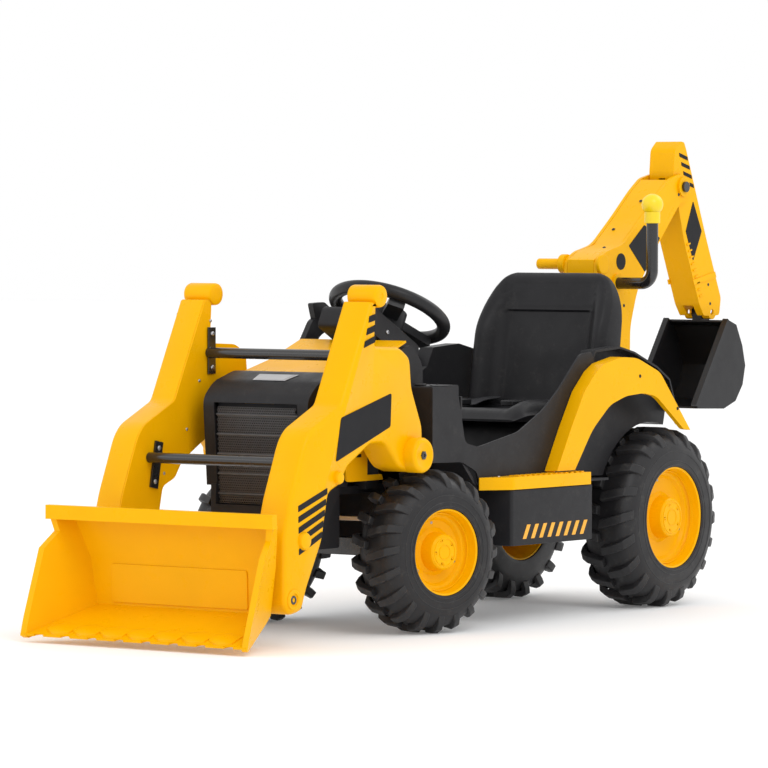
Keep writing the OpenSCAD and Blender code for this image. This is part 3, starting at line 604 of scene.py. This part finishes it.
# X and Z of the round parts on each arm
PIVOT, TOP_KNOB, ELBOW_CAP, LINK_CAP, BUCKET_PIN = ((870, 336), (972, 632), (1106, 303),
                                                    (1209, 193), (1239, 88))


def inset(points, t):
    """A flat outline moved in by t, held back where a corner is sharp."""
    out = []
    n = len(points)
    for i in range(n):
        a, p, b = points[i - 1], points[i], points[(i + 1) % n]
        u, v = (p - a), (b - p)
        u = u.normalized() if u.length > 1e-9 else v.normalized()
        v = v.normalized() if v.length > 1e-9 else u
        n1, n2 = Vector((-u.y, u.x)), Vector((-v.y, v.x))
        m = (n1 + n2).normalized()
        out.append(p + m * t / max(0.55, m.dot(n1)))
    return out


def moulding(bm, outline, y_low, y_high, chamfer, sign):
    """A side outline pushed between two Y planes, its outer edge stepped into a soft chamfer."""
    layers = [(outline, y_low), (outline, y_high - chamfer * 0.9)]
    for f, g in ((0.25, 0.42), (0.6, 0.16), (1.0, 0.0)):
        layers.append((inset(outline, chamfer * f), y_high - chamfer * g))
    rings = [[bm.verts.new(at(p[0], sign * y, p[1])) for p in loop] for loop, y in layers]
    close_rings(bm, rings)


def disc(bm, centre, sign, profile, segments=44):
    """A round part on an arm; its profile is (radius, |Y|)."""
    lathe(bm, at(centre[0], 0, centre[1]), (0, sign, 0), profile, segments)


for side, tag in SIDES:
    bm = bmesh.new()
    moulding(bm, eased(ARM, ARM_EASE, 3), 165.2, 224.6, 8.0, side)
    disc(bm, PIVOT, side, [(33, 215), (33, 244), (30.5, 248.2), (26, 250), (23, 249.4),
                                (20.5, 247.7), (0, 247.5)])
    disc(bm, TOP_KNOB, side, [(8, 159), (17, 159), (20.2, 161), (21, 164), (21, 219),
                                (19.4, 223), (15, 224.8), (6, 224.8), (4.6, 223.4), (0, 223.2)])
    disc(bm, ELBOW_CAP, side, [(12, 215), (12, 228), (10, 231.6), (6, 233), (0, 233)])
    disc(bm, LINK_CAP, side, [(17, 215), (17, 226), (14.6, 230.4), (9, 232), (0, 232)])
    disc(bm, BUCKET_PIN, side, [(19, 215), (19, 225.6), (17.5, 227), (12.6, 227), (11.4, 225.6),
                                (11.2, 219.6), (0, 219.6)])
    arm = finish_piece("loader_arm_moulding_" + tag, bm, yellow, "loader_arms")
    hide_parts("loader_arm_" + tag)
    bm = bmesh.new()
    disc(bm, PIVOT, side, [(8.5, 246), (8.5, 249.2), (7, 250), (3.6, 250), (3, 248.4),
                                (0, 248.2)], 6)
    disc(bm, BUCKET_PIN, side, [(8.5, 219), (8.5, 224.4), (7.4, 225.6), (4.4, 225.6), (3.8, 223.4),
                                (0, 223.2)], 24)
    finish_piece("arm_bolts_" + tag, bm, tube_black, "loader_arms")
    inner = [at(x, side * 161.9, z) for x, z in ((905, 345), (930, 520), (1060, 380),
                                                   (1022, 470), (1128, 300), (1225, 215),
                                                   (1190, 140), (988, 582))]
    screws("arm_cover_screws_" + tag, inner, (0, -side, 0), 3.2, steel, "loader_arms",
           1.6)

# bolts through both feet of each crossbar
for tag, foot, head in (("upper", (988, 482), (988, 570)), ("lower", (1162, 274), (1146, 360))):
    for side, half in ((1, "left"), (-1, "right")):
        spots = []
        for f in (0.14, 0.86):
            spots.append(at(foot[0] + (head[0] - foot[0]) * f, side * 157.4,
                            foot[1] + (head[1] - foot[1]) * f))
        screws(f"bar_bolts_{tag}_{half}", spots, (0, -side, 0), 4.6, steel, "loader_arms",
               2.4)

# ---- Seat: one moulded shell with bolsters, a framed back panel and a headrest ----

def blend_in(x, a, b):
    """0 up to a, 1 from b on, and smooth between them."""
    t = min(1, max(0, (x - a) / (b - a)))
    return t * t * (3 - 2 * t)


def line(x, points):
    """Height at x of a line drawn through the points."""
    for (x0, y0), (x1, y1) in zip(points, points[1:]):
        if x <= x1:
            return y0 + (y1 - y0) * max(0, (x - x0)) / (x1 - x0)
    return points[-1][1]


def groove(x, centre, wide, deep):
    """A rounded channel of the given half-width and depth."""
    return -deep * math.exp(-((x - centre) / wide) ** 2)


ACROSS = 44  # steps across the seat's front
SHOULDER, CREST = 560, 668  # heights where the back starts to narrow, and where it ends


def spread(k):
    """Places across the seat, from -1 to 1, closer together towards its sides."""
    u = -1 + 2 * k / ACROSS
    return math.copysign(1 - (1 - abs(u)) ** 1.35, u)


def seat_back_ring(z):
    """X and Y round the back at one height: across its front, then along its rear."""
    corner = math.sqrt(max(0.0, 1 - (max(0, z - SHOULDER) / 109.0) ** 2))
    w = 99 + 58.5 * corner if z > SHOULDER else 159.0 - 1.5 * (z - 396) / 164
    front = line(z, [(396, 126), (430, 121), (600, 92), (640, 83), (CREST, 70)])
    rear = line(z, [(396, 66), (420, 50), (600, 30), (640, 34), (CREST, 46)])
    if z > 654:
        pinch = 1 - math.sqrt(max(0.0, 1 - ((z - 654) / 14.2) ** 2))
        mid = (front + rear) / 2
        front, rear = front + (mid - front) * pinch, rear + (mid - rear) * pinch
        w -= 12 * pinch
    points = []
    for k in range(ACROSS + 1):
        u = spread(k)
        y = u * w
        a = abs(y)
        x = front - (front - rear) * 0.30 * blend_in(abs(u), 0.93, 1.0) ** 2
        bolster = 8 * math.exp(-((a - 127) / 17.0) ** 2) * (1 - blend_in(z, 600, 655))
        panel = (-6 * (1 - blend_in(a, 98, 107)) * blend_in(z, 398, 412)
                 * (1 - blend_in(z, 590, 596)))
        head = (-3.5 * (1 - blend_in(a, 96, 104)) * blend_in(z, 604, 609)
                * (1 - blend_in(z, 644, 654)))
        wing = 34 * blend_in(abs(u), 0.66, 0.93) * (1 - blend_in(z, 540, 652))
        x += bolster + panel + head + wing
        x += groove(z, 600, 3.2, 3.5) * (1 - blend_in(a, 100, 112))  # under the headrest
        x += groove(a, 108, 3.4, 3.0) * (1 - blend_in(z, 640, 658))  # beside the panel
        x += 2.2 * math.exp(-((z - 520) / 34.0) ** 2) * (1 - blend_in(a, 60, 96))  # lumbar swell
        points.append((x, y))
    for k in range(ACROSS + 1):
        u = 1 - 2 * k / ACROSS
        points.append((rear + (front - rear) * 0.40 * blend_in(abs(u), 0.80, 1.0) ** 2,
                       u * w * 0.985))
    return points


def seat_cushion_ring(x):
    """Y and Z round the cushion at one X: across its top, then its two lower corners."""
    roll = blend_in(x, 392, 431) ** 2  # the front edge rolls down
    top = line(x, [(72, 404), (160, 401), (330, 407), (392, 406), (432, 398)]) - 15 * roll
    w = 157.5 - 14 * blend_in(x, 395, 432) ** 2
    points = []
    for k in range(ACROSS + 1):
        u = spread(k)
        y = u * w
        a = abs(y)
        z = top - (top - 382) * 0.55 * blend_in(abs(u), 0.88, 1.0) ** 2
        z += 15 * math.exp(-((a - 130) / 17.0) ** 2) * (1 - blend_in(x, 360, 425))  # bolster
        z += -4 * (1 - blend_in(a, 98, 108)) * blend_in(x, 130, 150) * (1 - blend_in(x, 372, 392))
        z += groove(a, 110, 3.4, 2.4) * (1 - blend_in(x, 396, 420))
        z += groove(x, 384, 4.0, 2.0) * (1 - blend_in(a, 100, 116))
        points.append((y, z))
    return points + [(w * 0.97, 381.4), (-w * 0.97, 381.4)]


bm = bmesh.new()
heights = [396 + 4.5 * i for i in range(58)] + [658, 661.5, 664.5, 666.6, 667.8]
close_rings(bm, [[bm.verts.new(at(max(28.5, x), y, z)) for x, y in seat_back_ring(z)]
                 for z in heights])
seat_back = finish_piece("seat_back", bm, charcoal, "chassis")

bm = bmesh.new()
lengths = [min(72 + i * 5.8, 431.2) for i in range(62)]
close_rings(bm, [[bm.verts.new(at(x, y, z)) for y, z in seat_cushion_ring(x)] for x in lengths])
finish_piece("seat_cushion", bm, charcoal, "chassis")
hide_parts("seat")

# ---- Seat belt: two webbing straps lying over the cushion, with buckle halves ----

bm = bmesh.new()
for side in (1, -1):
    spine = []
    for i in range(19):
        f = i / 18
        x = 128 + 168 * f
        y = side * (108 - 44 * f + 5 * math.sin(3 * f))
        spine.append(at(x, y, 408.6 + 2.6 * math.sin(6 * f + side) + 10 * (1 - f) ** 3))
    banded(spine, 17, Vector((0, 0, 0.0016)), bm)
belt = finish_piece("seat_belt_straps", bm, webbing, "chassis", 0.3)
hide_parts("seat_belt")
bm = bmesh.new()
for side in (1, -1):
    outline = rounded([(292, side * 64 - 19), (334, side * 64 - 16), (334, side * 64 + 16),
                       (292, side * 64 + 19)], 7)
    prism(bm, [at(p[0], p[1], 408.0) for p in outline], Vector((0, 0, 0.011)))
finish_piece("seat_belt_buckles", bm, grip_black, "chassis", 2.4)

# ---- Grille: a sheet pierced with rows of small six-sided holes, behind raised slats ----

bm = bmesh.new()
step = 5.2  # between the holes' centres
GRILLE_LOW = 243
rows = int(184 / (step * 0.866))
columns = int(186 / step)
slope = (1056 - 1047) / (431 - GRILLE_LOW)  # the sheet leans forward a little towards its top
verts = {}


def sheet_vert(y, z, depth):
    """The sheet's point at Y and Z, made once, on its front (depth 0) or behind it."""
    key = (round(y, 2), round(z, 2), depth)
    if key not in verts:
        verts[key] = bm.verts.new(at(1046.2 + slope * (z - GRILLE_LOW) - depth, y, z))
    return verts[key]


for row in range(rows):
    for column in range(columns):
        cy = -92.5 + column * step + (step / 2 if row % 2 else 0)
        cz = 246.5 + row * step * 0.866
        if abs(cy) > 93.5:
            continue
        big = [(cy + step / math.sqrt(3) * math.sin(k * math.pi / 3),
                cz + step / math.sqrt(3) * math.cos(k * math.pi / 3)) for k in range(6)]
        small = [(cy + (p[0] - cy) * 0.66, cz + (p[1] - cz) * 0.66) for p in big]
        for k in range(6):
            j = (k + 1) % 6
            bm.faces.new((sheet_vert(*big[k], 0), sheet_vert(*big[j], 0),
                          sheet_vert(*small[j], 0), sheet_vert(*small[k], 0)))
            bm.faces.new((sheet_vert(*small[k], 0), sheet_vert(*small[j], 0),
                          sheet_vert(*small[j], 2.6), sheet_vert(*small[k], 2.6)))
            bm.faces.new((sheet_vert(*small[k], 2.6), sheet_vert(*small[j], 2.6),
                          sheet_vert(*big[j], 2.6), sheet_vert(*big[k], 2.6)))
# The pierced sheet, and the slats below, wear the grey with painted highlight.
mesh_piece = finish_piece("grille_holes", bm, grille_painted_sheen, "chassis")
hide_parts("grille_mesh")
bm = bmesh.new()
for i in range(5):
    z = 262 + 37 * i
    x = 1047 + slope * (z - GRILLE_LOW)
    section = [(-5, -2.2), (-1, -2.6), (1.4, -0.8), (1.4, 0.8), (-1, 2.6), (-5, 2.2)]
    prism(bm, [at(x + dx, -95.8, z + dz) for dx, dz in section], Vector((0, 0.1916, 0)))
finish_piece("grille_slats", bm, grille_painted_sheen, "chassis", 0.8)
bm = bmesh.new()
prism(bm, [at(x, -96, z) for x, z in ((1036.5, 243), (1039.5, 243), (1048.5, 431),
                                     (1045.5, 431))], Vector((0, 0.192, 0)))
finish_piece("grille_backing", bm, vinyl, "chassis", 0.6)

# plain badge plate on the nose, where the hood slopes
bm = bmesh.new()
run = Vector((1030 - 968, 0, 470 - 489)).normalized()
lift = Vector((-run.z, 0, run.x))
for size, height in (((34, 46, 38), 1.0), ((29, 40, 33), 1.8)):
    centre = at(1003, 0, 478.4)
    half, back_y, front_y = size[0] / 2000, size[1] / 1000, size[2] / 1000
    corners = [centre + run * (half * way) + Vector((0, y, 0))
               for way, y in ((-1, -back_y), (1, -front_y), (1, front_y), (-1, back_y))]
    prism(bm, [c + lift * 0.0002 for c in corners], lift * height / 1000)
finish_piece("nose_badge", bm, silver, "chassis", 0.6)

# ---- Loader bucket: raised back panel, and teeth along the floor's front edge ----

bm = bmesh.new()
face = [(-157, 70), (157, 70), (157, 141), (-157, 141)]
prism(bm, [at(1284.2 + (z - 62) * 4 / 88, y, z) for y, z in rounded(face, 5)],
      Vector((0.0022, 0, 0)))
finish_piece("bucket_back_panel", bm, yellow, "front_bucket", 0.8)
TEETH, BUCKET_HALF, END_GAP = 8, 262, 12


def under_teeth(x):
    """Height of the teeth's lower side, which slopes down with the bucket's floor."""
    return 55.2 - 0.351 * (x - 1305)


pitch = 2 * (BUCKET_HALF - END_GAP) / TEETH
bm = bmesh.new()
for i in range(TEETH - 1):
    centre = -BUCKET_HALF + END_GAP + pitch * (i + 1)
    rows = []
    for f, lift_by in ((0.0, 0.2), (0.3, 3.4), (0.6, 5.2), (0.85, 5.0), (1.0, 2.4)):
        row = []
        for k in range(13):
            u = -1 + k / 6
            front = 1422 - 15 * abs(u - 0.25) ** 1.7
            x = 1372 + 10 * abs(u) + (front - 1372 - 10 * abs(u)) * f
            rise = 4 + lift_by * (1 - abs(u) ** 2.2) * (1 - 0.25 * u)
            row.append((x, centre + u * pitch * 0.50, under_teeth(x) + rise))
        rows.append(row)
    top = [[bm.verts.new(at(*p)) for p in row] for row in rows]
    low = [[bm.verts.new(at(x, y, under_teeth(x))) for x, y, _ in row] for row in rows]
    for r in range(len(rows) - 1):
        for k in range(12):
            bm.faces.new((top[r][k], top[r][k + 1], top[r + 1][k + 1], top[r + 1][k]))
            bm.faces.new((low[r][k + 1], low[r][k], low[r + 1][k], low[r + 1][k + 1]))
        for k in (0, 12):
            bm.faces.new((top[r][k], top[r + 1][k], low[r + 1][k], low[r][k]))
    for r in (0, len(rows) - 1):
        for k in range(12):
            bm.faces.new((top[r][k], top[r][k + 1], low[r][k + 1], low[r][k]))
finish_piece("bucket_teeth", bm, yellow, "front_bucket")

# ---- Small hardware ----

screws("boom_front_screws", [at(-92, 12, 718.5), at(-160, -10, 756), at(-232, 10, 814.5)],
       (0.55, 0, 0.83), 3.4, casing, "backhoe_boom", 1.2)
for side, tag in SIDES:
    screws("boom_side_screws_" + tag, [at(-124, side * 40, 600), at(-118, side * 40, 420),
                                       at(-330, side * 40, 828)], (0, side, 0), 3.4, casing,
           "backhoe_boom", 1.2)
    screws("stick_side_screws_" + tag, [at(-462, side * 30, 640), at(-470, side * 30, 600)],
           (0, side, 0), 3.2, casing, "backhoe_stick", 1.2)
    screws("fender_screws_" + tag, [at(132, side * 246, 466), at(-6, side * 246, 398)],
           (0, side, 0), 3.4, charcoal, "chassis", 1.8)
    screws("dash_screws_" + tag, [at(716, side * 170, 462), at(786, side * 205, 462)], (0, 0, 1),
           3.0, charcoal, "chassis", 1.4)
    screws("step_screws_" + tag, [at(340, side * 222, 284.5), at(588, side * 222, 284.5)],
           (0, 0, 1), 3.0, steel, "chassis", 1.4)
    bm = bmesh.new()
    for i in range(9):
        f = i / 8
        base = Vector((-375 - 50 * f, 0, 722 - 108 * f))
        prism(bm, [at(base.x - back, side * 29.8, base.z + up)
                   for back, up in ((2, 0), (14, 3), (14, 6.5), (2, 3.5))],
              Vector((0, side * 0.0026, 0)))
    finish_piece("stick_ribs_" + tag, bm, yellow, "backhoe_stick", 0.4)
    collar = [(-491, 655), (-404, 640), (-400, 650), (-486, 667)]
    side_plates("stick_collar_" + tag, [collar], 29.6, 2.8, yellow, "backhoe_stick",
                1, 0.6, side)

tilt = math.radians(28)
column_up = Vector((-math.sin(tilt), 0, math.cos(tilt)))
column_ahead = Vector((math.cos(tilt), 0, math.sin(tilt)))
wheel_centre = at(637, 0, 595)
cowl_screw = wheel_centre + column_ahead * 0.06 - column_up * 0.072
for name, side in (("cowl_screws", 1), ("cowl_screws_right", -1)):
    screws(name, [cowl_screw + Vector((0, side * 0.058, 0))], (0, side, 0), 4.2, steel, "chassis",
           2.2)
# finger bumps under the steering wheel's rim, and a raised ring on the horn button
bm = bmesh.new()
for k in range(48):
    a = 2 * math.pi * k / 48
    spot = wheel_centre + (Matrix.Rotation(a, 3, column_up) @ column_ahead) * 0.108
    lathe(bm, spot - column_up * 0.0118, -column_up,
          [(3.6, -1.6), (3.4, 0.2), (2.2, 1.0), (0, 1.2)], 10)
finish_piece("wheel_grips", bm, grip_black, "steering")
bm = bmesh.new()
lathe(bm, wheel_centre, column_up, [(15, 8.0), (15, 9.0), (13.6, 9.6), (12.4, 9.0), (12, 8.2),
                                    (8, 8.3), (0, 8.9)], 40)
finish_piece("horn_ring", bm, grip_black, "horn")

# ---- Camera, light and floor ----

# the camera's axes and place, from a fit to the wheels, arms, crossbars and steps in the photo
right = Vector((-0.5875, 0.8092, 0.0024)).normalized()
up = Vector((-0.0246, -0.0209, 0.9995)).normalized()
back = right.cross(up).normalized()
up = back.cross(right).normalized()
camera_data = bpy.data.cameras.new("camera")
camera_data.lens = 229.6
camera_data.sensor_width = 36
camera_data.clip_end = 200
camera = bpy.data.objects.new("camera", camera_data)
bpy.context.scene.collection.objects.link(camera)
camera.matrix_world = Matrix((
    (right.x, up.x, back.x, 8.2615 + REAR_AXLE),
    (right.y, up.y, back.y, 5.5220),
    (right.z, up.z, back.z, 0.7608),
    (0, 0, 0, 1)))
bpy.context.scene.camera = camera

floor_data = bpy.data.meshes.new("floor")
grid = bmesh.new()
bmesh.ops.create_grid(grid, x_segments=24, y_segments=24, size=30)
grid.to_mesh(floor_data)
grid.free()
floor = bpy.data.objects.new("floor", floor_data)
bpy.context.scene.collection.objects.link(floor)
floor_data.materials.append(make_material("pale_floor", (0.94, 0.94, 0.94), 0.7, spread=0.004,
                                          grain=300, grain_depth=0.01, rough_spread=0.03,
                                          specular=0.1))
shine = floor_data.materials[0].node_tree.nodes["Principled BSDF"]
shine.inputs["Emission Color"].default_value = (1, 1, 1, 1)
shine.inputs["Emission Strength"].default_value = 0.10
floor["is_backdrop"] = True

world = bpy.data.worlds.new("studio")
bpy.context.scene.world = world
world.use_nodes = True
world.node_tree.nodes["Background"].inputs["Color"].default_value = (1, 1, 1, 1)
world.node_tree.nodes["Background"].inputs["Strength"].default_value = 1.0


def area_light(name, where, size, power):
    """A soft rectangular lamp that looks at the middle of the object."""
    data = bpy.data.lights.new(name, "AREA")
    data.shape = "RECTANGLE"
    data.size, data.size_y = size
    data.energy = power
    lamp = bpy.data.objects.new(name, data)
    bpy.context.scene.collection.objects.link(lamp)
    lamp.location = where
    lamp.rotation_euler = (Vector((0, 0, 0.4)) - Vector(where)).to_track_quat("-Z", "Y").to_euler()


area_light("key", (2.4, 4.2, 4.6), (2.6, 2.6), 75)
area_light("fill", (4.6, -2.6, 2.6), (3.0, 2.0), 16)
area_light("rim", (-3.4, 1.4, 3.6), (3.0, 2.0), 24)

bpy.context.scene.view_settings.view_transform = "Standard"
bpy.context.scene.view_settings.look = "None"

low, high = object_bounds()
